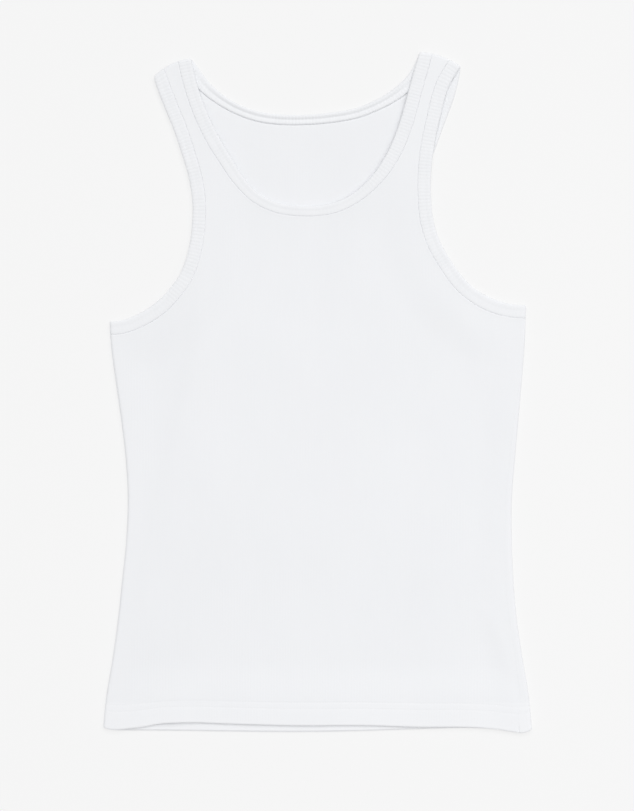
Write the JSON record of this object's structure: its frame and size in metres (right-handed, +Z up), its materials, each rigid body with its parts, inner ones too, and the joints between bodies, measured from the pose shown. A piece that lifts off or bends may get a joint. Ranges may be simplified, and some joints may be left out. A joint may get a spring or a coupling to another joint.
{
  "type": "tank top",
  "caption": "Sleeveless rib-knit tank top laid flat, with a scooped neck, deep armholes, narrow rib bindings and a stitched hem.",
  "frame": {"origin": "on the surface that the laid top rests on, under the middle of its outline", "axes": "+X to the right and +Y from the hem to the neck as seen from above with the front up, +Z up out of the surface"},
  "size_m": [0.3684, 0.5844, 0.0065],
  "materials": {
    "front_panel": "matte fine rib knit",
    "back_panel": "matte fine rib knit",
    "neck_binding": "matte doubled rib binding",
    "armhole_binding_left": "matte doubled rib binding",
    "armhole_binding_right": "matte doubled rib binding"
  },
  "bodies": {
    "root": {"front_panel": "front_panel", "back_panel": "back_panel", "neck_binding": "neck_binding", "armhole_binding_left": "armhole_binding_left", "armhole_binding_right": "armhole_binding_right"}
  },
  "joints": []
}
